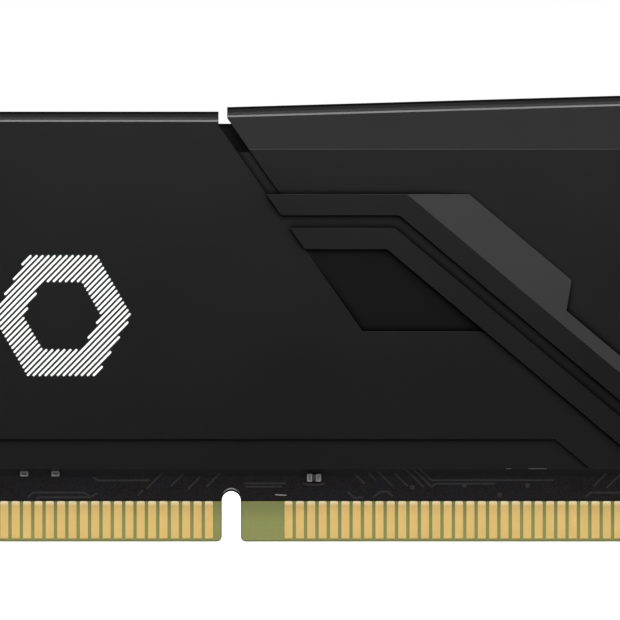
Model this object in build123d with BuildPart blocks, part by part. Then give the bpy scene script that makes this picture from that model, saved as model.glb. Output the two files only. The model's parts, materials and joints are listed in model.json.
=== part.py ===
from build123d import *

import os
from math import atan, cos, degrees, radians, sin, tan

# A desktop computer's memory module: a printed circuit board with a gold contact edge, memory chips on
# one side, and a black aluminium heat spreader on each side.
#
# Frame, in millimetres: X runs along the board, Z up from the contact edge, Y through the thickness.
# The origin is at mid-length and mid-thickness, level with the lowest line of the contact edge.
# The plain side of the board faces -Y (front), and the memory chips are on the +Y side (rear).

# ---- Driving dimensions: board and contact edge --------------------------------------------------

board_length = 133.35
board_height = 31.25
board_thickness = 1.40
mask_thickness = 0.03
contact_thickness = 0.04

edge_flat_left = -30.2  # the contact edge is level between these two, and rises towards the ends
edge_flat_right = 27.6
edge_end_rise = 0.5
edge_bevel = 0.12

key_x = -5.575  # centreline of the key notch
key_width = 1.4
key_depth = 3.77
key_mouth_radius = 0.4

latch_depth = 2.3
latch_height = 3.0
latch_radius = 0.75
latch_levels = (8.0, 14.6)

contact_pitch = 0.85
contact_width = 0.60
contact_corner = 0.12  # radius of each contact's upper corners
contact_low = 0.24  # above the contact edge
mask_low = 3.03  # the solder mask ends here, and the contacts below it are bare
contacts_left = 67
contacts_right = 77
first_contact_left = 1.67  # from the key's centreline to the nearest contact
first_contact_right = 4.28

# ---- Driving dimensions: parts on the board ------------------------------------------------------

dram_size = (7.5, 11.0)
dram_thickness = 0.90
dram_z = 19.0
dram_first_x = 10.5  # the inner package of each half, from mid-length
dram_spacing = 13.6
dram_per_half = 4
pin_one_radius = 0.4
pin_one_depth = 0.06

ball_radius = 0.22
ball_height = 0.30
ball_pitch = 0.80
ball_rows = 13
ball_columns = 3  # in each of the two banks of columns
ball_bank_spacing = 4.8  # between the two banks' middles

spd_size = (3.0, 2.0)
spd_thickness = 0.75
spd_place = (0.6, 15.5)

capacitor_length = 1.0
capacitor_width = 0.5
capacitor_thickness = 0.5
capacitor_terminal = 0.34
terminal_wrap = 0.02  # the tin stands this much proud of the ceramic
edge_capacitor_z = 5.42
edge_capacitors_x = (-48.2, -45.86, -21.06, -18.72, 45.86, 48.2)
lone_capacitor = (0.61, 4.79)
top_capacitor_z = 26.4
top_capacitor_offsets = (-2.4, 0.0, 2.4)  # from each package's middle

array_size = (2.0, 0.8)
array_thickness = 0.40
array_z = 4.75
array_offset = 2.0  # either side of each package's middle
array_lead_pitch = 0.5
array_lead_size = (0.28, 0.12)
array_leads = 4  # on each long side

# ---- Driving dimensions: heat spreaders ----------------------------------------------------------

sheet_inner = 2.35  # distances from the board's middle plane
sheet_thickness = 0.85
rib_height = 0.40
seam_half_gap = 0.15  # between the two plates' lips, over the board's top edge

sheet_low = 5.49
lower_half_length = 61.5  # between the socket's latches
neck_top = 18.5
wing_low = 22.8
wing_half_length = 65.6
wing_top = 26.0
corner_angle = 40.0

left_top = 32.14
right_top_start = 32.48
right_top_end = 34.10
right_top_rise = 0.0292  # rise per millimetre along the right panel's top edge
lip_thickness = 0.80

notch_left_x = -6.54
notch_right_x = -5.88
spine_lean = 35.0  # the left panel's slanting edge, from the vertical
spine_foot = (-0.07, 21.87)
slot_width = 1.05  # measured level
slot_low = 29.08
groove_depth = 0.22

crease_z = 29.28
crease_roll = 0.07  # height of the narrow face that eases the crease
upper_lean = 12.0  # how far the right panel leans back above its crease

lip_bevels = ((0.14, 27.0), (0.22, 35.0), (0.24, 45.0), (0.17, 72.0))  # heights and leans, from the face up

rib_fall = 40.0  # how steeply the ribs run down after their knees
knee_top_x = 7.56
rib_1_top = 25.96
rib_1_low = 24.40
rib_2_top = 23.44
rib_2_low = 21.87

facet_width = 2.99
facet_narrow_width = 0.98
facet_step_top = 19.55
facet_step_low = 17.26
facet_edge_height = 0.06  # what is left of the rib's height at the facet's outer edge

recess_low = 15.72
recess_depth = 0.32

strip_top = 7.68
strip_depth = 0.22
strip_end_x = 18.64
strip_gap = 3.0  # between the ribs and the right-hand strip

pad_half_length = 57.0
thermal_pad_low = 13.0
thermal_pad_high = 25.0
foam_pad_low = 9.0
foam_pad_high = 27.6

label_size = (42.0, 15.0)
label_centre = (-34.0, 18.5)
label_thickness = 0.10
label_corner = 1.0

# ---- Worked out from the driving dimensions ------------------------------------------------------

half_length = board_length / 2
half_board = board_thickness / 2
half_core = half_board - mask_thickness
sheet_outer = sheet_inner + sheet_thickness
rib_outer = sheet_outer + rib_height
chip_base = half_board + ball_height
chip_top = chip_base + dram_thickness
dram_steps = [dram_first_x + dram_spacing * step for step in range(dram_per_half)]
dram_columns = sorted([-step for step in dram_steps] + dram_steps)

os.makedirs("parts", exist_ok=True)

# ---- Board: laminate, solder mask and contacts ---------------------------------------------------


def contact_edge(rise):
    """The lower edge, from its left end to its right end, raised by this much."""
    return (
        (-half_length, edge_end_rise + rise),
        (edge_flat_left, rise),
        (edge_flat_right, rise),
        (half_length, edge_end_rise + rise),
    )


def board_outline():
    """The board's outline with its latch notches, in the open sketch."""
    Polygon(*contact_edge(0), (half_length, board_height), (-half_length, board_height), align=None)
    with Locations(*[(side * half_length, level) for side in (-1, 1) for level in latch_levels]):
        RectangleRounded(2 * latch_depth, latch_height, latch_radius, mode=Mode.SUBTRACT)


def key_notch():
    """Cut the round-topped key notch out of the open sketch."""
    straight = key_depth - key_width / 2
    with Locations((key_x, straight / 2)):
        Rectangle(key_width, straight, mode=Mode.SUBTRACT)
    with Locations((key_x, straight)):
        Circle(key_width / 2, mode=Mode.SUBTRACT)


with BuildPart() as pcb_laminate:
    with BuildSketch(Plane.XZ.offset(-half_core)) as laminate_face:
        board_outline()
        key_notch()
        low_corners = laminate_face.vertices().filter_by(lambda v: v.Y < edge_bevel)
        mouth = low_corners.filter_by(lambda v: abs(v.X - key_x) < key_width)
        fillet(mouth, key_mouth_radius)
    extrude(amount=2 * half_core)
    straight_edges = pcb_laminate.edges().filter_by(GeomType.LINE)
    low_edges = straight_edges.filter_by(lambda e: e.center().Z < edge_end_rise)
    chamfer(low_edges.filter_by(lambda e: e.length > board_length / 8), edge_bevel)

pcb_laminate.part.label = "pcb_laminate"
export_step(pcb_laminate.part, "parts/pcb_laminate.step")

with BuildPart() as solder_mask_front:
    with BuildSketch(Plane.XZ.offset(half_core)):
        board_outline()
        key_notch()
        with Locations((0, (mask_low + board_height) / 2)):
            Rectangle(board_length, board_height - mask_low, mode=Mode.INTERSECT)
    extrude(amount=mask_thickness)

solder_mask_front.part.label = "solder_mask_front"
export_step(solder_mask_front.part, "parts/solder_mask_front.step")

with BuildPart() as solder_mask_rear:
    mirror(solder_mask_front.part, about=Plane.XZ)

solder_mask_rear.part.label = "solder_mask_rear"
export_step(solder_mask_rear.part, "parts/solder_mask_rear.step")


def contact_row(nearest, direction, count):
    """Contacts from the one nearest the key outwards, in the open sketch."""
    middle_x = key_x + direction * (nearest + contact_pitch * (count - 1) / 2)
    with Locations((middle_x, mask_low / 2)):
        with GridLocations(contact_pitch, 0, count, 1):
            Rectangle(contact_width, mask_low)


with BuildPart() as contact_fingers_front:
    with BuildSketch(Plane.XZ.offset(half_core)) as contact_faces:
        contact_row(first_contact_left, -1, contacts_left)
        contact_row(first_contact_right, 1, contacts_right)
        bare_corners = ((half_length, mask_low), (-half_length, mask_low))
        Polygon(*contact_edge(contact_low), *bare_corners, align=None, mode=Mode.INTERSECT)
        upper_corners = contact_faces.vertices().filter_by(lambda v: v.Y > mask_low - contact_corner)
        fillet(upper_corners, contact_corner)
    extrude(amount=contact_thickness)

contact_fingers_front.part.label = "contact_fingers_front"
export_step(contact_fingers_front.part, "parts/contact_fingers_front.step")

with BuildPart() as contact_fingers_rear:
    mirror(contact_fingers_front.part, about=Plane.XZ)

contact_fingers_rear.part.label = "contact_fingers_rear"
export_step(contact_fingers_rear.part, "parts/contact_fingers_rear.step")

# ---- Memory chips on the rear of the board -------------------------------------------------------

for number, column in enumerate(dram_columns, start=1):
    with BuildPart() as dram_package:
        with BuildSketch(Plane.XZ.offset(-chip_top)):
            with Locations((column, dram_z)):
                Rectangle(*dram_size)
        extrude(amount=dram_thickness)
        with BuildSketch(Plane.XZ.offset(-chip_top)):
            with Locations((column + dram_size[0] / 2 - 1, dram_z + dram_size[1] / 2 - 1)):
                Circle(pin_one_radius)
        extrude(amount=pin_one_depth, mode=Mode.SUBTRACT)

    dram_package.part.label = f"dram_package_{number}"
    export_step(dram_package.part, f"parts/dram_package_{number}.step")

with BuildPart() as dram_solder_balls:
    with BuildSketch(Plane.XZ.offset(-chip_base)):
        with Locations(*[(column, dram_z) for column in dram_columns]):
            with GridLocations(ball_bank_spacing, 0, 2, 1):
                with GridLocations(ball_pitch, ball_pitch, ball_columns, ball_rows):
                    Circle(ball_radius)
    extrude(amount=ball_height)

dram_solder_balls.part.label = "dram_solder_balls"
export_step(dram_solder_balls.part, "parts/dram_solder_balls.step")

with BuildPart() as spd_eeprom:
    with BuildSketch(Plane.XZ.offset(-(half_board + spd_thickness))):
        with Locations(spd_place):
            Rectangle(*spd_size)
    extrude(amount=spd_thickness)

spd_eeprom.part.label = "spd_eeprom"
export_step(spd_eeprom.part, "parts/spd_eeprom.step")

# ---- Capacitors and resistor arrays --------------------------------------------------------------

upright_capacitors = [Location((x, edge_capacitor_z, 0), (0, 0, 90)) for x in edge_capacitors_x]
front_capacitors = upright_capacitors + [Location((*lone_capacitor, 0))]
rear_capacitors = [
    Location((column + offset, top_capacitor_z, 0), (0, 0, 90))
    for column in dram_columns
    for offset in top_capacitor_offsets
]
ceramic_length = capacitor_length - 2 * capacitor_terminal
terminal_offset = (capacitor_length - capacitor_terminal) / 2
tinned_width = capacitor_width + 2 * terminal_wrap
tinned_thickness = capacitor_thickness + terminal_wrap

with BuildPart() as capacitor_bodies_front:
    with BuildSketch(Plane.XZ.offset(half_board)):
        with Locations(*front_capacitors):
            Rectangle(ceramic_length, capacitor_width)
    extrude(amount=capacitor_thickness)

capacitor_bodies_front.part.label = "capacitor_bodies_front"
export_step(capacitor_bodies_front.part, "parts/capacitor_bodies_front.step")

with BuildPart() as capacitor_terminals_front:
    with BuildSketch(Plane.XZ.offset(half_board)):
        with Locations(*front_capacitors):
            with Locations((-terminal_offset, 0), (terminal_offset, 0)):
                Rectangle(capacitor_terminal, tinned_width)
    extrude(amount=tinned_thickness)

capacitor_terminals_front.part.label = "capacitor_terminals_front"
export_step(capacitor_terminals_front.part, "parts/capacitor_terminals_front.step")

with BuildPart() as capacitor_bodies_rear:
    with BuildSketch(Plane.XZ.offset(-(half_board + capacitor_thickness))):
        with Locations(*rear_capacitors):
            Rectangle(ceramic_length, capacitor_width)
    extrude(amount=capacitor_thickness)

capacitor_bodies_rear.part.label = "capacitor_bodies_rear"
export_step(capacitor_bodies_rear.part, "parts/capacitor_bodies_rear.step")

with BuildPart() as capacitor_terminals_rear:
    with BuildSketch(Plane.XZ.offset(-(half_board + tinned_thickness))):
        with Locations(*rear_capacitors):
            with Locations((-terminal_offset, 0), (terminal_offset, 0)):
                Rectangle(capacitor_terminal, tinned_width)
    extrude(amount=tinned_thickness)

capacitor_terminals_rear.part.label = "capacitor_terminals_rear"
export_step(capacitor_terminals_rear.part, "parts/capacitor_terminals_rear.step")

array_places = [(column + side * array_offset, array_z) for column in dram_columns for side in (-1, 1)]
array_lead_spacing = array_size[1] + array_lead_size[1]

with BuildPart() as resistor_array_bodies:
    with BuildSketch(Plane.XZ.offset(-(half_board + array_thickness))):
        with Locations(*array_places):
            Rectangle(*array_size)
    extrude(amount=array_thickness)

resistor_array_bodies.part.label = "resistor_array_bodies"
export_step(resistor_array_bodies.part, "parts/resistor_array_bodies.step")

with BuildPart() as resistor_array_terminals:
    with BuildSketch(Plane.XZ.offset(-(half_board + array_thickness))):
        with Locations(*array_places):
            with GridLocations(array_lead_pitch, array_lead_spacing, array_leads, 2):
                Rectangle(*array_lead_size)
    extrude(amount=array_thickness)

resistor_array_terminals.part.label = "resistor_array_terminals"
export_step(resistor_array_terminals.part, "parts/resistor_array_terminals.step")

# ---- Pads between the board and the heat spreaders -----------------------------------------------

with BuildPart() as thermal_pad_rear:
    with BuildSketch(Plane.XZ.offset(-sheet_inner)):
        with Locations((0, (thermal_pad_low + thermal_pad_high) / 2)):
            Rectangle(2 * pad_half_length, thermal_pad_high - thermal_pad_low)
    extrude(amount=sheet_inner - chip_top)

thermal_pad_rear.part.label = "thermal_pad_rear"
export_step(thermal_pad_rear.part, "parts/thermal_pad_rear.step")

with BuildPart() as foam_pad_front:
    with BuildSketch(Plane.XZ.offset(half_board)):
        with Locations((0, (foam_pad_low + foam_pad_high) / 2)):
            Rectangle(2 * pad_half_length, foam_pad_high - foam_pad_low)
    extrude(amount=sheet_inner - half_board)

foam_pad_front.part.label = "foam_pad_front"
export_step(foam_pad_front.part, "parts/foam_pad_front.step")

# ---- Heat spreader: outlines ---------------------------------------------------------------------

fall = tan(radians(rib_fall))
corner_slope = tan(radians(corner_angle))


def spine_x(z):
    """Where the left panel's slanting edge stands at height z."""
    return spine_foot[0] + tan(radians(spine_lean)) * (spine_foot[1] - z)


def slot_x(z):
    """Where the right panel's slanting edge stands at height z."""
    return spine_x(z) + slot_width


def corner_x(z):
    """Where the sloping top corner stands at height z, from mid-length."""
    return wing_half_length - (z - wing_top) / corner_slope


def knee_x(z):
    """Where a level rib edge at height z turns down: all knees lie on the bend's mitre line."""
    return knee_top_x - tan(radians(rib_fall / 2)) * (rib_1_top - z)


def falling_x(start, z):
    """Where the rib edge that leaves the knee at height start passes height z."""
    return knee_x(start) + (start - z) / fall


def beside_rib_x(width, z):
    """Where a line at this distance outside rib 1's upper falling edge passes height z."""
    return falling_x(rib_1_top, z) + width / sin(radians(rib_fall))


def rib_outline(top, low):
    """A rib from the slanting edge to its knee and down to the sheet's lower edge."""
    return (
        (spine_x(top), top),
        (knee_x(top), top),
        (falling_x(top, sheet_low), sheet_low),
        (falling_x(low, sheet_low), sheet_low),
        (knee_x(low), low),
        (spine_x(low), low),
    )


facet_outline = (
    (knee_x(rib_1_top), rib_1_top),
    (beside_rib_x(facet_width, rib_1_top), rib_1_top),
    (beside_rib_x(facet_width, facet_step_top), facet_step_top),
    (beside_rib_x(facet_narrow_width, facet_step_low), facet_step_low),
    (beside_rib_x(facet_narrow_width, sheet_low), sheet_low),
    (falling_x(rib_1_top, sheet_low), sheet_low),
)
recess_outline = (
    (spine_x(rib_2_low), rib_2_low),
    (knee_x(rib_2_low), rib_2_low),
    (falling_x(rib_2_low, recess_low), recess_low),
    (spine_x(recess_low), recess_low),
)
slot_top = spine_foot[1] + (spine_foot[0] - notch_left_x) / tan(radians(spine_lean))
right_notch_low = slot_top + (slot_width + notch_left_x - notch_right_x) / tan(radians(spine_lean))
level_top_x = notch_right_x + (right_top_end - right_top_start) / right_top_rise
strip_run = (strip_top - sheet_low) / fall
strip_start_x = beside_rib_x(facet_narrow_width, strip_top) + strip_gap


def leaning_plane(point, along, lean):
    """The plane through a point that holds the direction along and leans back by lean degrees."""
    along = Vector(along).normalized()
    upward = Vector(-along.Z, 0, along.X)
    slope = upward * cos(radians(lean)) + Vector(0, 1, 0) * sin(radians(lean))
    return Plane(origin=point, z_dir=along.cross(slope))


def lean_angle(depth, run):
    """The lean, in degrees, of a face that goes back by depth over this run."""
    return degrees(atan(depth / run))


def lip_planes(x, y, z, along):
    """The planes that roll a plate's top edge over in steps, from a point on its face upwards."""
    planes = []
    for height, lean in lip_bevels:
        planes.append(leaning_plane((x, y, z), along, lean))
        y += height * tan(radians(lean))
        z += height
    return planes


level = (1, 0, 0)
lip_height = sum(height for height, lean in lip_bevels)
upper_slope = tan(radians(upper_lean))
crease_face = leaning_plane((0, -sheet_outer, crease_z), level, upper_lean / 2)
crease_depth = crease_roll * tan(radians(upper_lean / 2))
upper_face = leaning_plane((0, crease_depth - sheet_outer, crease_z + crease_roll), level, upper_lean)

# ---- Heat spreader: its pieces, joined below into one plate --------------------------------------

with BuildPart() as flat_sheet:
    with BuildSketch(Plane.XZ.offset(sheet_inner)):
        Polygon(
            (-lower_half_length, sheet_low),
            (lower_half_length, sheet_low),
            (lower_half_length, neck_top),
            (wing_half_length, wing_low),
            (wing_half_length, wing_top),
            (corner_x(crease_z), crease_z),
            (spine_x(crease_z), crease_z),
            (notch_left_x, slot_top),
            (notch_left_x, left_top),
            (-corner_x(left_top), left_top),
            (-wing_half_length, wing_top),
            (-wing_half_length, wing_low),
            (-lower_half_length, neck_top),
            align=None,
        )
    extrude(amount=sheet_thickness)
    with BuildSketch(Plane.XZ.offset(seam_half_gap)):
        Polygon(
            (-corner_x(left_top - lip_thickness), left_top - lip_thickness),
            (notch_left_x, left_top - lip_thickness),
            (notch_left_x, left_top),
            (-corner_x(left_top), left_top),
            align=None,
        )
    extrude(amount=sheet_outer - seam_half_gap)
    for bevel in lip_planes(0, -sheet_outer, left_top - lip_height, level):
        split(bisect_by=bevel, keep=Keep.BOTTOM)


def upper_depth(z):
    """How far back the right panel's upper face stands at height z, measured from the sheet's face."""
    return crease_depth + upper_slope * (z - crease_z - crease_roll)


right_lip_z = right_top_start - lip_height
right_lip_y = upper_depth(right_lip_z) - sheet_outer
along_right_top = (1, upper_slope * right_top_rise, right_top_rise)

with BuildPart() as upper_wall:
    with BuildSketch(Plane.XZ.offset(half_board)):
        Polygon(
            (slot_x(crease_z), crease_z),
            (corner_x(crease_z), crease_z),
            (corner_x(right_top_end), right_top_end),
            (level_top_x, right_top_end),
            (notch_right_x, right_top_start),
            (notch_right_x, right_notch_low),
            align=None,
        )
    extrude(amount=sheet_outer - half_board)
    split(bisect_by=upper_face.offset(-sheet_thickness), keep=Keep.TOP)
    with BuildSketch(Plane.XZ.offset(seam_half_gap)):
        Polygon(
            (notch_right_x, right_top_start - lip_thickness),
            (level_top_x, right_top_end - lip_thickness),
            (corner_x(right_top_end - lip_thickness), right_top_end - lip_thickness),
            (corner_x(right_top_end), right_top_end),
            (level_top_x, right_top_end),
            (notch_right_x, right_top_start),
            align=None,
        )
    extrude(amount=sheet_outer - seam_half_gap)
    split(bisect_by=crease_face, keep=Keep.BOTTOM)
    split(bisect_by=upper_face, keep=Keep.BOTTOM)
    for bevel in lip_planes(notch_right_x, right_lip_y, right_lip_z, along_right_top):
        split(bisect_by=bevel, keep=Keep.BOTTOM)

rib_direction = (cos(radians(rib_fall)), 0, -sin(radians(rib_fall)))
rib_edge = (knee_top_x, -rib_outer, rib_1_top)
facet_lean = lean_angle(rib_height - facet_edge_height, facet_width)

with BuildPart() as bright_facet:
    with BuildSketch(Plane.XZ.offset(sheet_outer)):
        Polygon(*facet_outline, align=None)
    extrude(amount=rib_height)
    split(bisect_by=leaning_plane(rib_edge, rib_direction, facet_lean), keep=Keep.BOTTOM)

recess_lean = lean_angle(-recess_depth, rib_2_low - recess_low)

with BuildPart() as recess_cutter:
    with BuildSketch(Plane.XZ.offset(sheet_inner)):
        Polygon(*recess_outline, align=None)
    extrude(amount=sheet_thickness)
    split(bisect_by=leaning_plane((0, -sheet_outer, rib_2_low), level, recess_lean), keep=Keep.TOP)

# ---- Heat spreaders ------------------------------------------------------------------------------

with BuildPart() as heat_spreader_front:
    add(flat_sheet.part)
    add(upper_wall.part)
    add(recess_cutter.part, mode=Mode.SUBTRACT)
    with BuildSketch(Plane.XZ.offset(sheet_outer)):
        Polygon(*rib_outline(rib_1_top, rib_1_low), align=None)
        Polygon(*rib_outline(rib_2_top, rib_2_low), align=None)
    extrude(amount=rib_height)
    add(bright_facet.part)
    with BuildSketch(Plane.XZ.offset(sheet_outer)):
        Polygon(
            (spine_x(rib_1_top), rib_1_top),
            (slot_x(rib_1_top), rib_1_top),
            (slot_x(slot_low), slot_low),
            (spine_x(slot_low), slot_low),
            align=None,
        )
    extrude(amount=-groove_depth, mode=Mode.SUBTRACT)
    with BuildSketch(Plane.XZ.offset(sheet_outer)):
        Polygon(
            (spine_x(slot_low), slot_low),
            (slot_x(slot_low), slot_low),
            (slot_x(crease_z), crease_z),
            (spine_x(crease_z), crease_z),
            align=None,
        )
    extrude(amount=-sheet_thickness, mode=Mode.SUBTRACT)
    with BuildSketch(Plane.XZ.offset(sheet_outer)):
        Polygon(
            (-lower_half_length, sheet_low),
            (-lower_half_length, strip_top),
            (strip_end_x, strip_top),
            (strip_end_x + strip_run, sheet_low),
            align=None,
        )
        Polygon(
            (strip_start_x + strip_run, sheet_low),
            (strip_start_x, strip_top),
            (lower_half_length, strip_top),
            (lower_half_length, sheet_low),
            align=None,
        )
    extrude(amount=-strip_depth, mode=Mode.SUBTRACT)

heat_spreader_front.part.label = "heat_spreader_front"
export_step(heat_spreader_front.part, "parts/heat_spreader_front.step")

with BuildPart() as heat_spreader_rear:
    mirror(heat_spreader_front.part, about=Plane.XZ)

heat_spreader_rear.part.label = "heat_spreader_rear"
export_step(heat_spreader_rear.part, "parts/heat_spreader_rear.step")

with BuildPart() as spec_label:
    with BuildSketch(Plane.XZ.offset(-(sheet_outer + label_thickness))):
        with Locations(label_centre):
            RectangleRounded(*label_size, label_corner)
    extrude(amount=label_thickness)

spec_label.part.label = "spec_label"
export_step(spec_label.part, "parts/spec_label.step")
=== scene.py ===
import json
import math
import random

import bmesh
import bpy
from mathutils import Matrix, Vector


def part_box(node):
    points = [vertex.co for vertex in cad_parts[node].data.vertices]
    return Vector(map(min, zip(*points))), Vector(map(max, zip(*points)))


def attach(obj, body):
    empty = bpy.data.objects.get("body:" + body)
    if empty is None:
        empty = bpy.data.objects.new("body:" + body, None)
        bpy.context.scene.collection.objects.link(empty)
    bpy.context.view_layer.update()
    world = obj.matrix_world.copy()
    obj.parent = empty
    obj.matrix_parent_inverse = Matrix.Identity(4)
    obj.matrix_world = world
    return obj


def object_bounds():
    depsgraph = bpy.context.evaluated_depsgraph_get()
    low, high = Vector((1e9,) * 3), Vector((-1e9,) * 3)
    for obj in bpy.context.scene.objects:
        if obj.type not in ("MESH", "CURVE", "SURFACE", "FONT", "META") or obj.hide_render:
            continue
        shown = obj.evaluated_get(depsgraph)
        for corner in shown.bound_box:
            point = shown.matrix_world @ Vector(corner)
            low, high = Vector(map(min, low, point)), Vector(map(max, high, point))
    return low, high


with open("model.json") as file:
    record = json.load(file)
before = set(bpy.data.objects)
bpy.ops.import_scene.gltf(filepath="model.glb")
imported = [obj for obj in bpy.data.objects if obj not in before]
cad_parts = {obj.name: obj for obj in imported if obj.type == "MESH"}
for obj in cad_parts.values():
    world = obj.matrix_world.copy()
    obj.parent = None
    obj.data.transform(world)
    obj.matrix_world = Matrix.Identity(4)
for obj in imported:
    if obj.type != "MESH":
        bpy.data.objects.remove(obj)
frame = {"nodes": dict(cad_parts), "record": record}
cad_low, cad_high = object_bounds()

# Looks for a desktop memory module. Everything is in metres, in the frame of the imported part: X runs
# along the board, Z up from the contact edge, and the front of the module faces -Y.

MM = 0.001
same_place = 0.001 * MM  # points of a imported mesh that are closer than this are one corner
scene = bpy.context.scene
nodes = frame["nodes"]

# ---- Places taken from the frame ---------------------------------------------------------------

mount_places = {mount["name"]: Vector(mount["pos_m"]) for mount in frame["record"]["mounts"]}
key_x = mount_places["key_notch"].x
mask_low, mask_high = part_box("solder_mask_front")
plate_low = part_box("heat_spreader_front")[0]
label_low, label_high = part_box("spec_label")
mask_y = mask_low.y  # the front solder mask's outer face
panel_y = -label_low.y  # the front panels' flat face, level with the label's back on the rear plate
strip_low = mask_low.z  # the board's bare strip runs from here up to the plates' lower edge
strip_high = plate_low.z


# ---- Material recipes --------------------------------------------------------------------------


class Recipe:
    """A material being made: each call adds a node and returns its output. Lengths are millimetres."""

    def __init__(self, name):
        self.material = bpy.data.materials.new(name)
        self.material.use_nodes = True
        self.tree = self.material.node_tree
        self.surface = self.tree.nodes["Principled BSDF"]
        coordinates = self.tree.nodes.new("ShaderNodeTexCoord")
        self.place = self.add("ShaderNodeVectorMath", {0: coordinates.outputs["Object"], "Scale": 1 / MM},
                              operation="SCALE")

    def feed(self, socket, value):
        """Link a node's output to a socket, or set the socket's own value."""
        if isinstance(value, bpy.types.NodeSocket):
            self.tree.links.new(value, socket)
        else:
            socket.default_value = value

    def add(self, kind, inputs, output=0, **settings):
        node = self.tree.nodes.new(kind)
        for name, value in settings.items():
            setattr(node, name, value)
        for name, value in inputs.items():
            self.feed(node.inputs[name], value)
        return node.outputs[output]

    def stretched(self, stretch):
        """The place, scaled differently along each axis."""
        return self.add("ShaderNodeVectorMath", {0: self.place, 1: stretch}, operation="MULTIPLY")

    def noise(self, size, detail=2.0, stretch=None):
        """Cloudy variation from 0 to 1, with features about this many millimetres across."""
        place = self.stretched(stretch) if stretch else self.place
        inputs = {"Vector": place, "Scale": 1 / size, "Detail": detail, "Roughness": 0.55}
        return self.add("ShaderNodeTexNoise", inputs, "Fac")

    def cells(self, size):
        """Distance to the middle of scattered cells about this many millimetres across."""
        inputs = {"Vector": self.place, "Scale": 1 / size}
        return self.add("ShaderNodeTexVoronoi", inputs, "Distance")

    def ripples(self, spacing, axis, distortion):
        """Bands from 0 to 1 across an axis, this many millimetres apart."""
        inputs = {"Vector": self.place, "Scale": math.tau / (20 * spacing), "Distortion": distortion}
        return self.add("ShaderNodeTexWave", inputs, "Fac", wave_type="BANDS", bands_direction=axis)

    def levels(self, value, start, end, low, high):
        """Stretch the part of a value between start and end over the range from low to high."""
        inputs = {"Value": value, "From Min": start, "From Max": end, "To Min": low, "To Max": high}
        return self.add("ShaderNodeMapRange", inputs, "Result", clamp=True)

    def maths(self, operation, first, second):
        return self.add("ShaderNodeMath", {0: first, 1: second}, operation=operation)

    def blend(self, share, first, second):
        """A colour between two others."""
        node = self.tree.nodes.new("ShaderNodeMix")
        node.data_type = "RGBA"
        self.feed(node.inputs["Factor"], share)
        self.feed(node.inputs[6], first)
        self.feed(node.inputs[7], second)
        return node.outputs[2]

    def wear_and_highlight_edges(self, radius):
        """1 on sharp outer edges, falling to 0 within this radius: the mask for edge wear and painted
        highlight.
        """
        rounded = self.add("ShaderNodeBevel", {"Radius": radius * MM}, samples=6)
        flat = self.tree.nodes.new("ShaderNodeNewGeometry").outputs["Normal"]
        match = self.add("ShaderNodeVectorMath", {0: rounded, 1: flat}, "Value", operation="DOT_PRODUCT")
        return self.levels(match, 0.78, 0.995, 1.0, 0.0)

    def openness(self, reach, contrast):
        """1 on open faces, falling towards 0 in corners and channels within this many millimetres: the mask
        for painted shade.
        """
        seen = self.add("ShaderNodeAmbientOcclusion", {"Distance": reach * MM}, "AO", samples=8)
        return self.maths("POWER", seen, contrast)

    def along(self, axis):
        """The place along one axis: X, Y or Z."""
        return self.add("ShaderNodeSeparateXYZ", {"Vector": self.place}, axis)

    def bump(self, height, depth, strength):
        """A normal that follows a height from 0 to 1, this many millimetres deep."""
        inputs = {"Height": height, "Distance": depth * MM, "Strength": strength}
        return self.add("ShaderNodeBump", inputs, "Normal")

    def finish(self, **inputs):
        """Feed the surface's sockets, named in lower case with underscores, and return the material."""
        for name, value in inputs.items():
            self.feed(self.surface.inputs[name.replace("_", " ").title().replace("Ior", "IOR")], value)
        return self.material


def grey(level):
    return (level, level, level, 1.0)


def tone(red, green, blue):
    return (red, green, blue, 1.0)


def black_aluminium():
    """Fine bead-blasted, black anodised aluminium: painted shade darkens its colour and weakens its
    reflection in its corners, and its slightly burnished edges are partly a painted highlight.
    """
    make = Recipe("black_aluminium")
    cloud = make.noise(9.0, detail=3.0)
    grain = make.noise(0.09, detail=2.0)
    # Pale edges: partly wear, partly a painted highlight along the sharp edges.
    edge_wear_and_highlight = make.maths("MULTIPLY", make.wear_and_highlight_edges(0.06), make.noise(1.3, detail=4.0))
    body = make.blend(cloud, grey(0.0003), grey(0.0008))
    speckled = make.blend(make.levels(grain, 0.35, 0.75, 0.0, 0.35), body, grey(0.002))
    edge_toned = make.blend(make.levels(edge_wear_and_highlight, 0.2, 0.8, 0.0, 0.4), speckled, grey(0.05))
    # Painted shade: ambient occlusion darkens the colour and weakens the reflection in corners, channels and
    # recesses.
    painted_shade_factor = make.maths("MULTIPLY", make.openness(0.40, 1.8), make.openness(1.6, 0.7))
    colour = make.blend(painted_shade_factor, grey(0.0), edge_toned)
    shine_with_painted_shade = make.levels(painted_shade_factor, 0.0, 1.0, 0.0, 0.30)
    roughness = make.levels(make.maths("ADD", grain, cloud), 0.6, 1.4, 0.285, 0.33)
    fine = make.bump(grain, 0.003, 0.3)
    return make.finish(base_color=colour, roughness=roughness, normal=fine, specular_ior_level=shine_with_painted_shade)


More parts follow.
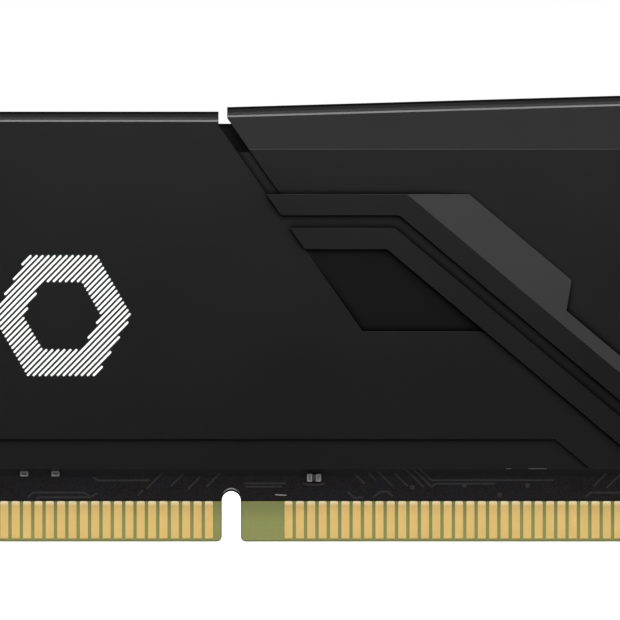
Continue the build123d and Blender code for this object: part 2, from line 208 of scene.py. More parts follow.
def glass_epoxy():
    """Green-brown laminate: woven glass just visible in the resin, cut fibres at the edges, and paler resin
    near the top of the contacts: painted light against the shade under the plates."""
    make = Recipe("glass_epoxy")
    weave = make.maths("MULTIPLY", make.ripples(0.42, "X", 0.6), make.ripples(0.42, "Z", 0.6))
    mottle = make.noise(0.35, detail=3.0)
    base = make.blend(mottle, tone(0.134, 0.142, 0.038), tone(0.160, 0.169, 0.050))
    woven = make.blend(make.levels(weave, 0.0, 1.0, 0.0, 0.18), base, tone(0.185, 0.200, 0.066))
    # Painted light: paler resin near the top of the contacts offsets the shade under the plates.
    painted_light_near_plates = make.levels(make.along("Z"), strip_low / MM - 0.8, strip_low / MM, 0.0, 1.0)
    colour = make.blend(painted_light_near_plates, woven, tone(0.178, 0.190, 0.060))
    plies = make.ripples(0.19, "Y", 0.4)
    height = make.maths("ADD", make.maths("MULTIPLY", weave, 0.6), make.maths("MULTIPLY", plies, 0.4))
    normal = make.bump(height, 0.004, 0.4)
    roughness = make.levels(mottle, 0.3, 0.7, 0.42, 0.55)
    return make.finish(base_color=colour, roughness=roughness, normal=normal, specular_ior_level=0.3)


def solder_mask():
    """Semi-gloss black lacquer with a violet-brown cast: painted shade along its lower and upper edges, and
    painted light close to the plates' lower edge, where their shadow falls."""
    make = Recipe("solder_mask")
    peel = make.noise(0.5, detail=2.0)
    fine = make.noise(0.06, detail=2.0)
    tint = make.noise(2.2, detail=3.0)
    mottle = make.levels(make.noise(0.4, detail=4.0), 0.35, 0.65, 0.0, 1.0)
    warm = make.blend(mottle, tone(0.0055, 0.0050, 0.0050), tone(0.0105, 0.0088, 0.0082))
    body = make.blend(make.levels(tint, 0.4, 0.6, 0.0, 1.0), tone(0.0070, 0.0066, 0.0088), warm)
    height = make.along("Z")
    # Painted light: a paler band around the plates' lower edge, where their shadow falls.
    rising = make.levels(height, strip_high / MM - 0.9, strip_high / MM, 0.0, 0.5)
    falling = make.levels(height, strip_high / MM + 0.4, strip_high / MM + 2.0, 0.5, 0.0)
    painted_light_lift = make.blend(make.maths("MINIMUM", rising, falling), body, grey(0.032))
    flecks = make.levels(make.noise(0.14, detail=3.0), 0.42, 0.66, 0.0, 0.5)
    flecked = make.blend(flecks, painted_light_lift, tone(0.026, 0.024, 0.024))
    # Painted shade: darker along the mask's lower edge at the contacts' tops, and along its upper edge
    # between the plates.
    painted_shade_low = make.levels(height, strip_low / MM, strip_low / MM + 0.14, 0.9, 0.0)
    painted_shade_high = make.levels(height, mask_high.z / MM - 0.4, mask_high.z / MM - 0.1, 0.0, 0.9)
    colour = make.blend(make.maths("MAXIMUM", painted_shade_low, painted_shade_high), flecked, grey(0.001))
    roughness = make.levels(fine, 0.3, 0.7, 0.32, 0.46)
    normal = make.bump(peel, 0.008, 0.5)
    return make.finish(base_color=colour, roughness=roughness, normal=normal, specular_ior_level=0.05)


def masked_copper():
    """The same lacquer over copper, a little thinner and warmer along the tracks."""
    make = Recipe("masked_copper")
    thin = make.noise(0.25, detail=3.0)
    colour = make.blend(thin, tone(0.016, 0.015, 0.016), tone(0.026, 0.024, 0.024))
    roughness = make.levels(thin, 0.3, 0.7, 0.26, 0.38)
    normal = make.bump(make.noise(0.08, detail=2.0), 0.003, 0.5)
    return make.finish(base_color=colour, roughness=roughness, normal=normal, specular_ior_level=0.22)


def hard_gold():
    """Plated contacts: satin gold with upright rub marks from the socket, painted shade towards the contact
    edge and painted light at the upper ends, which together even out the light along them."""
    make = Recipe("hard_gold")
    rubs = make.noise(0.05, detail=3.0, stretch=(1.0, 1.0, 0.06))
    cloud = make.noise(0.6, detail=3.0)
    streaks = make.maths("MULTIPLY", rubs, cloud)
    rubbed = make.blend(streaks, tone(0.75, 0.49, 0.148), tone(0.83, 0.645, 0.28))
    height = make.along("Z")
    # Painted light: paler at the upper ends, against the shade under the plates.
    painted_light_upper_end = make.levels(height, strip_low / MM - 0.36, strip_low / MM - 0.04, 0.0, 0.85)
    # Painted shade: darker towards the contact edge, to even out the light along the contacts.
    painted_shade_lower_end = make.levels(height, 0.3, strip_low / MM - 0.3, 0.45, 0.0)
    edge_toned = make.blend(painted_shade_lower_end, rubbed, tone(0.56, 0.39, 0.135))
    colour = make.blend(painted_light_upper_end, edge_toned, tone(1.0, 0.90, 0.60))
    roughness = make.levels(rubs, 0.3, 0.7, 0.36, 0.46)
    normal = make.bump(rubs, 0.003, 0.5)
    return make.finish(base_color=colour, metallic=0.75, roughness=roughness, normal=normal)


def mould_compound():
    """Chip package epoxy: charcoal, with fine filler specks and a dry moulded grain."""
    make = Recipe("mould_compound")
    grain = make.noise(0.05, detail=3.0)
    specks = make.levels(make.cells(0.11), 0.0, 0.18, 1.0, 0.0)
    body = make.blend(make.noise(2.5), grey(0.014), grey(0.022))
    colour = make.blend(make.maths("MULTIPLY", specks, 0.35), body, grey(0.09))
    roughness = make.levels(grain, 0.3, 0.7, 0.50, 0.66)
    return make.finish(base_color=colour, roughness=roughness, normal=make.bump(grain, 0.006, 0.6))


def solder_metal(name, paleness, dullest, metallic):
    """Tin and solder: grey metal, cloudy where it froze."""
    make = Recipe(name)
    frost = make.noise(0.12, detail=4.0)
    colour = make.blend(frost, grey(paleness * 0.82), grey(paleness * 1.12))
    roughness = make.levels(frost, 0.3, 0.7, dullest - 0.18, dullest)
    normal = make.bump(frost, 0.002, 0.4)
    return make.finish(base_color=colour, metallic=metallic, roughness=roughness, normal=normal)


def ceramic(name, dark, pale, roughest):
    """Fired ceramic bodies, slightly mottled."""
    make = Recipe(name)
    mottle = make.noise(0.16, detail=4.0)
    colour = make.blend(mottle, dark, pale)
    roughness = make.levels(mottle, 0.3, 0.7, roughest - 0.15, roughest)
    return make.finish(base_color=colour, roughness=roughness, normal=make.bump(mottle, 0.004, 0.5))


def thermal_silicone():
    """Soft grey-blue gap filler with pale filler grains."""
    make = Recipe("thermal_silicone")
    grains = make.levels(make.cells(0.22), 0.0, 0.3, 1.0, 0.0)
    cloud = make.noise(1.8, detail=3.0)
    body = make.blend(cloud, tone(0.20, 0.25, 0.29), tone(0.28, 0.33, 0.37))
    colour = make.blend(make.maths("MULTIPLY", grains, 0.5), body, tone(0.46, 0.50, 0.53))
    roughness = make.levels(cloud, 0.3, 0.7, 0.62, 0.80)
    return make.finish(base_color=colour, roughness=roughness, normal=make.bump(grains, 0.02, 0.6))


def spacer_foam():
    """Closed black foam: small round pores on every cut face."""
    make = Recipe("spacer_foam")
    pores = make.levels(make.cells(0.35), 0.05, 0.40, 0.0, 1.0)
    colour = make.blend(pores, grey(0.004), grey(0.016))
    roughness = make.levels(pores, 0.0, 1.0, 0.95, 0.80)
    return make.finish(base_color=colour, roughness=roughness, normal=make.bump(pores, 0.08, 0.8))


def label_film():
    """Satin silver polyester label with a faint brushed grain."""
    make = Recipe("label_film")
    brush = make.noise(0.05, detail=2.0, stretch=(0.04, 1.0, 1.0))
    cloud = make.noise(6.0, detail=2.0)
    colour = make.blend(brush, tone(0.50, 0.50, 0.49), tone(0.66, 0.66, 0.64))
    roughness = make.levels(cloud, 0.3, 0.7, 0.36, 0.46)
    normal = make.bump(brush, 0.003, 0.4)
    return make.finish(base_color=colour, metallic=0.55, roughness=roughness, normal=normal)


def matte_film(name, thin, thick):
    """A matte film with slightly uneven cover, for printed ink and for the painted highlight on the key
    notch's rim.
    """
    make = Recipe(name)
    cover = make.noise(0.10, detail=4.0)
    colour = make.blend(make.levels(cover, 0.3, 0.6, 0.0, 1.0), thin, thick)
    roughness = make.levels(cover, 0.3, 0.7, 0.50, 0.68)
    return make.finish(base_color=colour, roughness=roughness, normal=make.bump(cover, 0.003, 0.5))


# Painted shade: the capacitors' ceramic is near black, standing in for the shadow under the plates' lower
# edge.
shaded_brown_dark, shaded_brown_pale = tone(0.014, 0.010, 0.008), tone(0.026, 0.019, 0.015)
black_dark, black_pale = tone(0.008, 0.008, 0.010), tone(0.016, 0.016, 0.019)
materials = {
    "black_aluminium": black_aluminium(),
    "laminate": glass_epoxy(),
    "solder_mask": solder_mask(),
    "contact_gold": hard_gold(),
    "mould_compound": mould_compound(),
    "solder": solder_metal("solder", 0.34, 0.55, 0.35),
    "tin": solder_metal("tin", 0.21, 0.40, 0.9),
    "capacitor_ceramic": ceramic("capacitor_ceramic", shaded_brown_dark, shaded_brown_pale, 0.60),
    "resistor_ceramic": ceramic("resistor_ceramic", black_dark, black_pale, 0.42),
    "thermal_silicone": thermal_silicone(),
    "foam": spacer_foam(),
    "label_film": label_film(),
}
masked_copper_finish = masked_copper()
white_ink = matte_film("white_ink", grey(0.42), grey(0.78))
dark_ink = matte_film("dark_ink", grey(0.030), grey(0.012))
dull_solder = solder_metal("dull_solder", 0.25, 0.55, 0.35)
# Painted highlight: a pale film for the lit rim of the key notch.
painted_rim_highlight = matte_film("painted_rim_highlight", grey(0.15), grey(0.20))

for subpart in frame["record"]["subparts"]:
    node = nodes[subpart["node"]]
    node.data.materials.clear()
    node.data.materials.append(materials[subpart["material_slot"]])


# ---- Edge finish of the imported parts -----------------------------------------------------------

plate_edge_radius = 0.014 * MM
flat_turn = math.radians(0.2)  # faces that meet at less than this are one flat face
crease_turn = math.radians(3)  # faces that meet at more than this are shaded apart
sharp_turn = math.radians(22)  # edges that turn by more than this are rounded


def soften_edges(node, radius):
    """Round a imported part's sharp edges, and keep its flat faces flat to the eye."""
    weld = node.modifiers.new("join_corners", "WELD")
    weld.merge_threshold = same_place
    flatten = node.modifiers.new("merge_flat_faces", "DECIMATE")
    flatten.decimate_type = "DISSOLVE"
    flatten.angle_limit = flat_turn
    bevel = node.modifiers.new("soft_edges", "BEVEL")
    bevel.width = radius
    bevel.segments = 2
    bevel.limit_method = "ANGLE"
    bevel.angle_limit = sharp_turn
    bevel.use_clamp_overlap = True
    part_faces = node.modifiers.new("part_faces", "EDGE_SPLIT")
    part_faces.split_angle = crease_turn


for name in ("heat_spreader_front", "heat_spreader_rear"):
    soften_edges(nodes[name], plate_edge_radius)


# ---- Building pieces ---------------------------------------------------------------------------

bar_end_steps = 5  # straight steps around each round end of a bar


def make_piece(name, material, build):
    """A piece whose mesh the build function fills. It rides on the module's one body."""
    shape = bmesh.new()
    build(shape)
    bmesh.ops.recalc_face_normals(shape, faces=shape.faces)
    mesh = bpy.data.meshes.new(name)
    shape.to_mesh(mesh)
    shape.free()
    mesh.materials.append(material)
    piece = bpy.data.objects.new(name, mesh)
    scene.collection.objects.link(piece)
    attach(piece, "root")
    return piece


def add_skin(shape, lower, upper):
    """Faces between two closed loops of the same number of corners."""
    for index, corner in enumerate(lower):
        following = (index + 1) % len(lower)
        shape.faces.new((corner, lower[following], upper[following], upper[index]))


def add_loft(shape, rings):
    """A solid skinned over closed rings of points, from the first ring to the last."""
    loops = [[shape.verts.new(point) for point in ring] for ring in rings]
    for lower, upper in zip(loops, loops[1:]):
        add_skin(shape, lower, upper)
    shape.faces.new(loops[0])
    shape.faces.new(loops[-1])


def add_plate(shape, outline, base_y, top_y):
    """A thin plate with an outline of (x, z) points."""
    add_loft(shape, [[(x, y, z) for x, z in outline] for y in (base_y, top_y)])


def add_rectangle(shape, left, right, low, high, base_y, top_y):
    add_plate(shape, ((left, low), (right, low), (right, high), (left, high)), base_y, top_y)


def rounded_bar(start, end, width):
    """The outline of a straight bar with round ends, as (x, z) points."""
    along = (end - start).normalized()
    across = Vector((-along.y, along.x))
    outline = []
    for centre, side in ((end, -1), (start, 1)):
        for step in range(bar_end_steps + 1):
            turn = math.pi * step / bar_end_steps
            reach = across * math.cos(turn) - along * math.sin(turn)
            outline.append(centre + side * (width / 2) * reach)
    return [(point.x, point.y) for point in outline]


def loose_boxes(node):
    """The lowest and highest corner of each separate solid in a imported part, from left to right."""
    shape = bmesh.new()
    shape.from_mesh(node.data)
    shape.transform(node.matrix_world)
    bmesh.ops.remove_doubles(shape, verts=shape.verts, dist=same_place)
    reached = set()
    boxes = []
    for start in shape.verts:  # in the mesh's own order, so that every run gives the same order
        if start in reached:
            continue
        reached.add(start)
        fringe = [start]
        found = []
        while fringe:
            corner = fringe.pop()
            found.append(corner.co.copy())
            for edge in corner.link_edges:
                other = edge.other_vert(corner)
                if other not in reached:
                    reached.add(other)
                    fringe.append(other)
        low = Vector([min(point[axis] for point in found) for axis in range(3)])
        high = Vector([max(point[axis] for point in found) for axis in range(3)])
        boxes.append((low, high))
    shape.free()
    return sorted(boxes, key=lambda box: box[0].x)


# ---- The hatched emblem on the left panel ------------------------------------------------------

emblem_right = -13.0 * MM
emblem_middle_z = 16.9 * MM
emblem_radius = 5.2 * MM
emblem_band = 2.3 * MM
emblem_spacing = 11.8 * MM
emblem_count = 3
hatch_angle = math.radians(45.5)
hatch_pitch = 0.32 * MM
hatch_width = 0.165 * MM
ink_height = 0.012 * MM


def span_in_hexagon(point, direction, radius):
    """Where a line enters and leaves a hexagon about the origin, with corners left and right, or None."""
    apothem = radius * math.cos(math.pi / 6)
    enter, leave = -math.inf, math.inf
    for side in range(6):
        turn = math.pi / 6 + side * math.pi / 3
        outward = Vector((math.cos(turn), math.sin(turn)))
        closing = outward.dot(direction)
        distance = (apothem - outward.dot(point)) / closing
        if closing > 0:
            leave = min(leave, distance)
        else:
            enter = max(enter, distance)
    return (enter, leave) if enter < leave else None


def hatch_hexagon(shape, centre):
    """Slanting printed strokes that fill a hexagonal ring."""
    direction = Vector((math.cos(hatch_angle), math.sin(hatch_angle)))
    across = Vector((-direction.y, direction.x))
    strokes = int(emblem_radius / hatch_pitch)
    for index in range(-strokes, strokes + 1):
        point = across * (index * hatch_pitch)
        outer = span_in_hexagon(point, direction, emblem_radius)
        if outer is None:
            continue
        inner = span_in_hexagon(point, direction, emblem_radius - emblem_band)
        spans = [(outer[0], inner[0]), (inner[1], outer[1])] if inner else [outer]
        for start, end in spans:
            if end - start < 2 * hatch_width:
                continue
            first = centre + point + direction * (start + hatch_width / 2)
            last = centre + point + direction * (end - hatch_width / 2)
            add_plate(shape, rounded_bar(first, last, hatch_width), panel_y, panel_y - ink_height)


def build_emblem(shape):
    for index in range(emblem_count):
        centre_x = emblem_right - emblem_radius - index * emblem_spacing
        hatch_hexagon(shape, Vector((centre_x, emblem_middle_z)))


make_piece("hatched_emblem", white_ink, build_emblem)


# ---- Copper tracks and vias under the solder mask ----------------------------------------------

track_width = 0.14 * MM
track_height = 0.016 * MM
track_profile = ((-0.5, 0.0), (-0.3, 1.0), (0.3, 1.0), (0.5, 0.0))  # shares of width and of height
via_radius = 0.19 * MM
via_height = 1.4 * track_height
via_profile = ((1.0, 0.0), (0.85, 1.0), (0.50, 1.0), (0.35, 0.3))  # shares of radius and of height
via_steps = 14


def add_track(shape, path, face_y, out):
    """A low copper track with sloping sides, along a path of (x, z) points in millimetres."""
    points = [Vector(point) * MM for point in path]
    headings = [(after - before).normalized() for before, after in zip(points, points[1:])]
    rings = []
    for index, point in enumerate(points):
        arriving = headings[max(index - 1, 0)]
        leaving = headings[min(index, len(headings) - 1)]
        along = (arriving + leaving).normalized()
        across = Vector((-along.y, along.x)) / along.dot(leaving)
        ring = []
        for reach, rise in track_profile:
            place = point + across * (reach * track_width)
            ring.append((place.x, face_y + out * rise * track_height, place.y))
        rings.append(ring)
    add_loft(shape, rings)


def add_via(shape, x, z, face_y, out):
    """A low ring of copper with a filled hole, at (x, z) in millimetres."""
    turns = [math.tau * step / via_steps for step in range(via_steps)]
    rings = []
    for share, rise in via_profile:
        y = face_y + out * rise * via_height
        reach = share * via_radius
        ring = [(x * MM + reach * math.cos(turn), y, z * MM + reach * math.sin(turn)) for turn in turns]
        rings.append(ring)
    add_loft(shape, rings)


def slanted(foot_x, foot_z, head_z, lean):
    """A track at 45 degrees from its foot up to a height, leaning right (1) or left (-1)."""
    return ((foot_x, foot_z), (foot_x + lean * (head_z - foot_z), head_z))


head_z = strip_high / MM + 0.3  # tracks that go on upwards pass out of sight under the plate
upper_run_levels = (4.60, 4.35)
widest_group = 8.0
group_gap = 1.2
notch_clearance = 1.2  # no rear track starts closer than this to the key notch's middle
rear_step = 0.22  # how far a rear track steps sideways
rear_head_z = 4.2


def build_front_tracks(shape):
    """The runs beside the key notch, slanting fans on both sides with level runs out of them, and similar
    groups further out. All places are in millimetres."""
    fan_left = ((-11.92, 3.97, 5.20), (-10.10, 4.16, 5.12), (-8.79, 3.97, 4.80), (-7.44, 4.11, 5.10))
    fan_right = ((4.42, 4.33, 5.05), (5.26, 4.61, 5.16), (6.47, 4.19, 5.30), (7.64, 4.14, 5.12),
                 (8.80, 4.10, head_z), (9.41, 4.10, head_z))
    paths = [slanted(*stroke, 1) for stroke in fan_left] + [slanted(*stroke, -1) for stroke in fan_right]
    paths.append(((-15.9, 4.85), (-15.6, 4.59), (-11.7, 4.59)))
    paths.append(((-20.8, 3.30), (-20.4, 3.69), (-16.6, 3.69), (-16.2, 3.45)))
    paths.append(((-20.2, 3.20), (-19.9, 3.33), (-16.2, 3.33), (-15.6, 3.60)))
    paths.append(((-12.6, 3.45), (-12.2, 3.85)))
    paths.append(((-4.6, 4.38), (-1.5, 4.38)))
    paths.append(((-4.5, 4.13), (-1.8, 4.13)))
    paths.append(((-0.2, 4.40), (0.1, 4.28), (1.1, 4.28), (1.4, 4.40)))
    paths.append(((8.2, head_z), (9.41, 4.61), (18.5, 4.61)))
    paths.append(((9.41, 4.10), (9.70, 4.35), (14.2, 4.35)))
    paths.append(((3.1, 3.75), (3.6, 3.30), (4.3, 3.30)))
    paths.append(((5.0, 3.30), (5.6, 3.75), (6.1, 3.75), (6.5, 3.40)))
    for path in paths:
        add_track(shape, path, mask_y, -1)
    for x, z in ((7.96, 4.07), (11.85, 4.21), (16.58, 4.22), (14.5, 3.50)):
        add_via(shape, x, z, mask_y, -1)
    add_run_groups(shape, mask_y, -1, (-62.0, -22.8), random.Random(11))
    add_run_groups(shape, mask_y, -1, (20.5, 62.0), random.Random(12))


def add_run_groups(shape, face_y, out, reach, dice):
    """Repeated groups of slanting strokes, level runs and vias along a stretch of the strip."""
    x, end = reach
    while x < end - widest_group:
        lean = dice.choice((-1, 1))
        strokes = dice.randint(3, 5)
        for number in range(strokes):
            foot_x = x + 1.0 + number * dice.uniform(1.0, 1.2)
            foot_z = dice.uniform(3.95, 4.25)
            add_track(shape, slanted(foot_x, foot_z, dice.uniform(5.0, head_z), lean), face_y, out)
        run_start = x + strokes * 1.2 + 0.9
        run_end = run_start + dice.uniform(2.2, 3.2)
        for level in upper_run_levels:
            add_track(shape, ((run_start, level), (run_end, level)), face_y, out)
        low_run = ((x + 0.4, 3.35), (x + 0.8, 3.68), (run_start, 3.68), (run_start + 0.4, 3.35))
        add_track(shape, low_run, face_y, out)
        add_via(shape, run_end + 0.35, dice.uniform(4.0, 4.3), face_y, out)
        x = run_end + group_gap


def build_rear_tracks(shape):
    """A track up from every rear contact, stepping sideways on its way to the resistor arrays."""
    dice = random.Random(21)
    for low, high in loose_boxes(nodes["contact_fingers_rear"]):
        x = (low.x + high.x) / 2 / MM
        if abs(x - key_x / MM) < notch_clearance:
            continue
        step = dice.choice((-rear_step, 0.0, rear_step))
        bend = dice.uniform(3.3, 3.6)
        foot = (x, strip_low / MM + 0.04)
        after_step = (x + step, bend + abs(step) + 0.1)
        add_track(shape, (foot, (x, bend), after_step, (x + step, rear_head_z)), -mask_y, 1)


make_piece("copper_runs_front", masked_copper_finish, build_front_tracks)
make_piece("copper_runs_rear", masked_copper_finish, build_rear_tracks)


# ---- Bare copper and solder --------------------------------------------------------------------

pad_lap = 0.05 * MM  # how much of an edge pad shows below the plate
pad_reach = 0.30 * MM  # how far an edge pad goes on above the plate's lower edge
pad_height = 0.05 * MM
dash_height = 0.03 * MM
rim_inner = 0.84 * MM  # the radius of the rim's inner edge
rim_narrow = 0.02 * MM  # the rim's width at its two ends
rim_widening = 0.10 * MM  # what the rim gains at its top
rim_height = 0.006 * MM
corner_cut = 0.05 * MM  # off each corner of a solder collar
inner_spread_limit = 0.02 * MM  # solder hardly spreads under the part, between its two terminals
# the solder's spreads and heights in millimetres, from the pad up and over the terminal's rim
collar_profile = ((0.04, 0.0), (0.03, 0.20), (0.02, 0.42), (0.005, 0.54), (-0.03, 0.57), (-0.07, 0.56),
                  (-0.09, 0.50), (-0.09, 0.0))


def build_edge_pads(shape):
    """Two tinned pads that peep out under the front plate's lower edge."""
    low, high = strip_high - pad_lap, strip_high + pad_reach
    for left, right in ((14.95, 15.35), (16.65, 18.0)):
        add_rectangle(shape, left * MM, right * MM, low, high, mask_y, mask_y - pad_height)


def build_tinned_dash(shape):
    """One tinned dash of copper beside the key notch."""
    outline = ((-2.30, 3.48), (-1.90, 3.45), (-1.46, 3.43), (-1.46, 3.49), (-1.90, 3.52), (-2.30, 3.54))
    add_plate(shape, [(x * MM, z * MM) for x, z in outline], mask_y, mask_y - dash_height)


def build_key_rim(shape):
    """A pale ring around the key notch's closed end, widest at its top: a painted highlight on the notch's
    rim.
    """
    centre_z = mount_places["key_notch"].z
    turns = [math.radians(degrees) for degrees in range(42, 139, 4)]
    rim = [(turn, rim_inner) for turn in turns]
    rim += [(turn, rim_inner + rim_narrow + rim_widening * math.sin(turn) ** 8) for turn in reversed(turns)]
    outline = [(key_x + reach * math.cos(turn), centre_z + reach * math.sin(turn)) for turn, reach in rim]
    for base_y, out in ((mask_y, -1), (-mask_y, 1)):
        add_plate(shape, outline, base_y, base_y + out * rim_height)


def collar_ring(low, high, spread, y, inner):
    """The outline of a terminal with cut corners, spread outwards on every side but the inner one."""
    inner_spread = min(spread, inner_spread_limit)
    left = low.x - (inner_spread if inner == "-x" else spread)
    right = high.x + (inner_spread if inner == "+x" else spread)
    bottom = low.z - (inner_spread if inner == "-z" else spread)
    top = high.z + (inner_spread if inner == "+z" else spread)
    cut = corner_cut
    outline = ((left + cut, bottom), (right - cut, bottom), (right, bottom + cut), (right, top - cut),
               (right - cut, top), (left + cut, top), (left, top - cut), (left, bottom + cut))
    return [(x, y, z) for x, z in outline]


def add_collar(shape, low, high, face_y, out, inner):
    """The solder that climbs a terminal from its pad and beads over its rim."""
    loops = []
    for spread, rise in collar_profile:
        ring = collar_ring(low, high, spread * MM, face_y + out * rise * MM, inner)
        loops.append([shape.verts.new(point) for point in ring])
    for lower, upper in zip(loops, loops[1:] + loops[:1]):
        add_skin(shape, lower, upper)


def build_fillets(shape, node_name, face_y, out):
    """A collar of solder on each terminal of a node. Terminals come in pairs, one at each end of a part."""
    boxes = loose_boxes(nodes[node_name])
    middles = [(low + high) / 2 for low, high in boxes]
    for index, (low, high) in enumerate(boxes):
        others = [place for place in middles if place is not middles[index]]
        partner = min(others, key=lambda place: (place - middles[index]).length)
        towards = partner - middles[index]
        if abs(towards.x) > abs(towards.z):
            inner = "+x" if towards.x > 0 else "-x"
        else:
            inner = "+z" if towards.z > 0 else "-z"
        add_collar(shape, low, high, face_y, out, inner)


make_piece("edge_pads", dull_solder, build_edge_pads)
make_piece("tinned_dash", materials["solder"], build_tinned_dash)
make_piece("key_notch_rim", painted_rim_highlight, build_key_rim)
make_piece("solder_fillets_front", dull_solder,
           lambda shape: build_fillets(shape, "capacitor_terminals_front", mask_y, -1))
make_piece("solder_fillets_rear", dull_solder,
           lambda shape: build_fillets(shape, "capacitor_terminals_rear", -mask_y, 1))


# ---- Print on the rear label -------------------------------------------------------------------

print_inset = 0.8 * MM
rule_width = 0.15 * MM
code_size = 9.0 * MM
code_cells = 12
cell_cover = 0.96  # how much of its place a printed square fills
line_count = 5
line_pitch = 2.1 * MM
line_height = 0.85 * MM
word_gap = 0.6 * MM


def build_label_print(shape):
    """A border, ruled rows of plain blocks and a panel of squares. Nothing in it can be read."""
    dice = random.Random(31)
    base_y, top_y = label_high.y, label_high.y + ink_height
    left, right = label_low.x + print_inset, label_high.x - print_inset
    low, high = label_low.z + print_inset, label_high.z - print_inset
    inner_low, inner_high = low + rule_width, high - rule_width
    add_rectangle(shape, left, right, low, inner_low, base_y, top_y)
    add_rectangle(shape, left, right, inner_high, high, base_y, top_y)
    add_rectangle(shape, left, left + rule_width, inner_low, inner_high, base_y, top_y)
    add_rectangle(shape, right - rule_width, right, inner_low, inner_high, base_y, top_y)
    cell = code_size / code_cells
    for column in range(code_cells):
        for row in range(code_cells):
            if dice.random() < 0.5:
                x = left + 1.4 * MM + column * cell
                z = low + 2.0 * MM + row * cell
                add_rectangle(shape, x, x + cell_cover * cell, z, z + cell_cover * cell, base_y, top_y)
    for line in range(line_count):
        z = low + 1.9 * MM + line * line_pitch
        x = left + code_size + 3.0 * MM
        while x < right - 4.0 * MM:
            length = dice.uniform(1.2, 3.6) * MM
            add_rectangle(shape, x, x + length, z, z + line_height, base_y, top_y)
            x += length + word_gap


make_piece("label_print", dark_ink, build_label_print)


# ---- Stage, light and camera -------------------------------------------------------------------

picture_width = 46.29 * MM  # how much of the module's length the picture shows
picture_centre = Vector((0.31 * MM, plate_low.y, 17.32 * MM))
lens = 1650.0  # long, so that near and far parts keep almost the same scale
sensor = 36.0

camera_data = bpy.data.cameras.new("camera")
camera_data.lens = lens
camera_data.sensor_width = sensor
camera_data.clip_start = 10 * MM
camera_data.clip_end = 20.0
camera = bpy.data.objects.new("camera", camera_data)
camera.location = picture_centre - Vector((0, picture_width * lens / sensor, 0))
camera.rotation_euler = (math.radians(90), 0, 0)
scene.collection.objects.link(camera)
scene.camera = camera


def choose_by_ray(tree, shaders, output_input):
    """Show one shader to the camera, one to mirror-like rays, and one to all others."""
    path = tree.nodes.new("ShaderNodeLightPath")
    unseen = tree.nodes.new("ShaderNodeMixShader")
    tree.links.new(path.outputs["Is Glossy Ray"], unseen.inputs[0])
    tree.links.new(shaders["soft"], unseen.inputs[1])
    tree.links.new(shaders["mirrored"], unseen.inputs[2])
    chosen = tree.nodes.new("ShaderNodeMixShader")
    tree.links.new(path.outputs["Is Camera Ray"], chosen.inputs[0])
    tree.links.new(unseen.outputs[0], chosen.inputs[1])
    tree.links.new(shaders["seen"], chosen.inputs[2])
    tree.links.new(chosen.outputs[0], output_input)


def glow_by_direction(tree, axis, start, end, low, high):
    """A strength for mirrored rays that follows how far they point along an axis, either way: low up to
    the start, and high from the end."""
    ray = tree.nodes.new("ShaderNodeNewGeometry")
    parts = tree.nodes.new("ShaderNodeSeparateXYZ")
    tree.links.new(ray.outputs["Incoming"], parts.inputs[0])
    reach = tree.nodes.new("ShaderNodeMath")
    reach.operation = "ABSOLUTE"
    tree.links.new(parts.outputs[axis], reach.inputs[0])
    strength = tree.nodes.new("ShaderNodeMapRange")
    for name, value in (("From Min", start), ("From Max", end), ("To Min", low), ("To Max", high)):
        strength.inputs[name].default_value = value
    tree.links.new(reach.outputs[0], strength.inputs["Value"])
    return strength.outputs["Result"]


floor_reach = 5.0  # metres from the middle of the floor to its sides
floor_gap = 0.01 * MM  # keeps the floor just clear of the contact edge
card_strength = 0.27  # the floor's extra glow at the module's foot, fading out 8 to 14 mm away


def add_floor():
    """A wide floor, white to the camera. Mirrored rays find it dim, unless they meet it at a slant or
    close to the module. All other light finds it pale grey."""
    reach = floor_reach
    level = cad_low.z - floor_gap
    make = Recipe("floor")
    make.finish(base_color=grey(0.9), roughness=0.9, emission_color=grey(1.0), emission_strength=0.6)
    distance = make.maths("ABSOLUTE", make.along("Y"), 0.0)
    card_glow = make.levels(distance, 8, 14, card_strength, 0.0)
    floor_glow = glow_by_direction(make.tree, "Y", 0.72, 0.88, 1.0, 0.02)
    card = make.add("ShaderNodeEmission", {"Strength": make.maths("ADD", card_glow, floor_glow)})
    bounce = make.add("ShaderNodeBsdfDiffuse", {"Color": grey(0.65)})
    shaders = {"seen": make.surface.outputs[0], "mirrored": card, "soft": bounce}
    choose_by_ray(make.tree, shaders, make.tree.nodes["Material Output"].inputs["Surface"])
    mesh = bpy.data.meshes.new("floor")
    corners = [(-reach, -reach, level), (reach, -reach, level), (reach, reach, level), (-reach, reach, level)]
    mesh.from_pydata(corners, [], [(0, 1, 2, 3)])
    mesh.materials.append(make.material)
    floor = bpy.data.objects.new("floor", mesh)
    scene.collection.objects.link(floor)


def backdrop(tree, strength):
    """A white backdrop. Its strength is a number or a socket."""
    glow = tree.nodes.new("ShaderNodeBackground")
    glow.inputs["Color"].default_value = grey(1.0)
    if isinstance(strength, float):
        glow.inputs["Strength"].default_value = strength
    else:
        tree.links.new(strength, glow.inputs["Strength"])
    return glow.outputs[0]


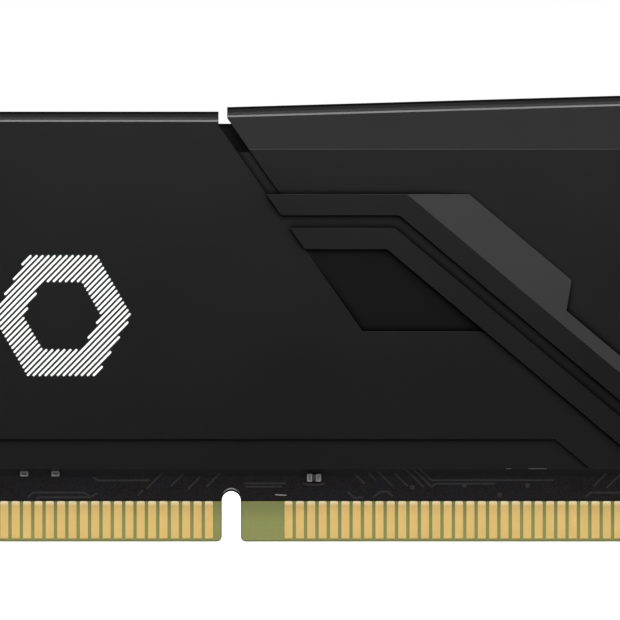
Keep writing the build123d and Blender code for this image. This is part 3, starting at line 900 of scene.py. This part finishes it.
def add_world():
    """A backdrop that is white to the camera and gives a soft, even light. Mirrored rays find it nearly
    dark, unless they leave well to one side."""
    world = bpy.data.worlds.new("studio")
    scene.world = world
    world.use_nodes = True
    tree = world.node_tree
    sideways = glow_by_direction(tree, "X", 0.40, 0.65, 0.01, 0.30)
    strengths = {"seen": 1.0, "mirrored": sideways, "soft": 0.75}
    shaders = {ray: backdrop(tree, strength) for ray, strength in strengths.items()}
    choose_by_ray(tree, shaders, tree.nodes["World Output"].inputs["Surface"])


def add_softbox(name, azimuth, elevation, distance, width, height, radiance):
    """A rectangular light aimed at the module. Azimuth 0 stands in front, and 90 to the right."""
    turn, rise = math.radians(azimuth), math.radians(elevation)
    aim = Vector((0, 0, (cad_low.z + cad_high.z) / 2))
    away = Vector((math.sin(turn) * math.cos(rise), -math.cos(turn) * math.cos(rise), math.sin(rise)))
    data = bpy.data.lights.new(name, "AREA")
    data.shape = "RECTANGLE"
    data.size = width
    data.size_y = height
    data.energy = radiance * math.pi * width * height
    light = bpy.data.objects.new(name, data)
    light.location = aim + away * distance
    light.rotation_mode = "QUATERNION"
    light.rotation_quaternion = away.to_track_quat("Z", "Y")
    light.visible_camera = False
    scene.collection.objects.link(light)


add_floor()
add_world()
# azimuth and elevation in degrees; distance, width and height in metres; radiance
add_softbox("front_strip", 0, 13.9, 0.33, 0.40, 0.036, 7.65)
add_softbox("middle_softbox", 0, 32, 0.60, 0.50, 0.06, 1.8)
add_softbox("top_softbox", 0, 54, 0.60, 0.50, 0.10, 25.0)
add_softbox("overhead_softbox", 0, 88, 0.60, 0.50, 0.30, 0.66)
add_softbox("left_side_light", -72, 8, 0.50, 0.12, 0.10, 6.0)
add_softbox("right_side_light", 72, 8, 0.50, 0.12, 0.10, 6.0)
add_softbox("rear_left_softbox", 128, 16, 0.60, 0.20, 0.20, 9.0)
add_softbox("rear_right_softbox", 232, 16, 0.60, 0.20, 0.20, 9.0)

scene.view_settings.view_transform = "Standard"
scene.view_settings.look = "None"
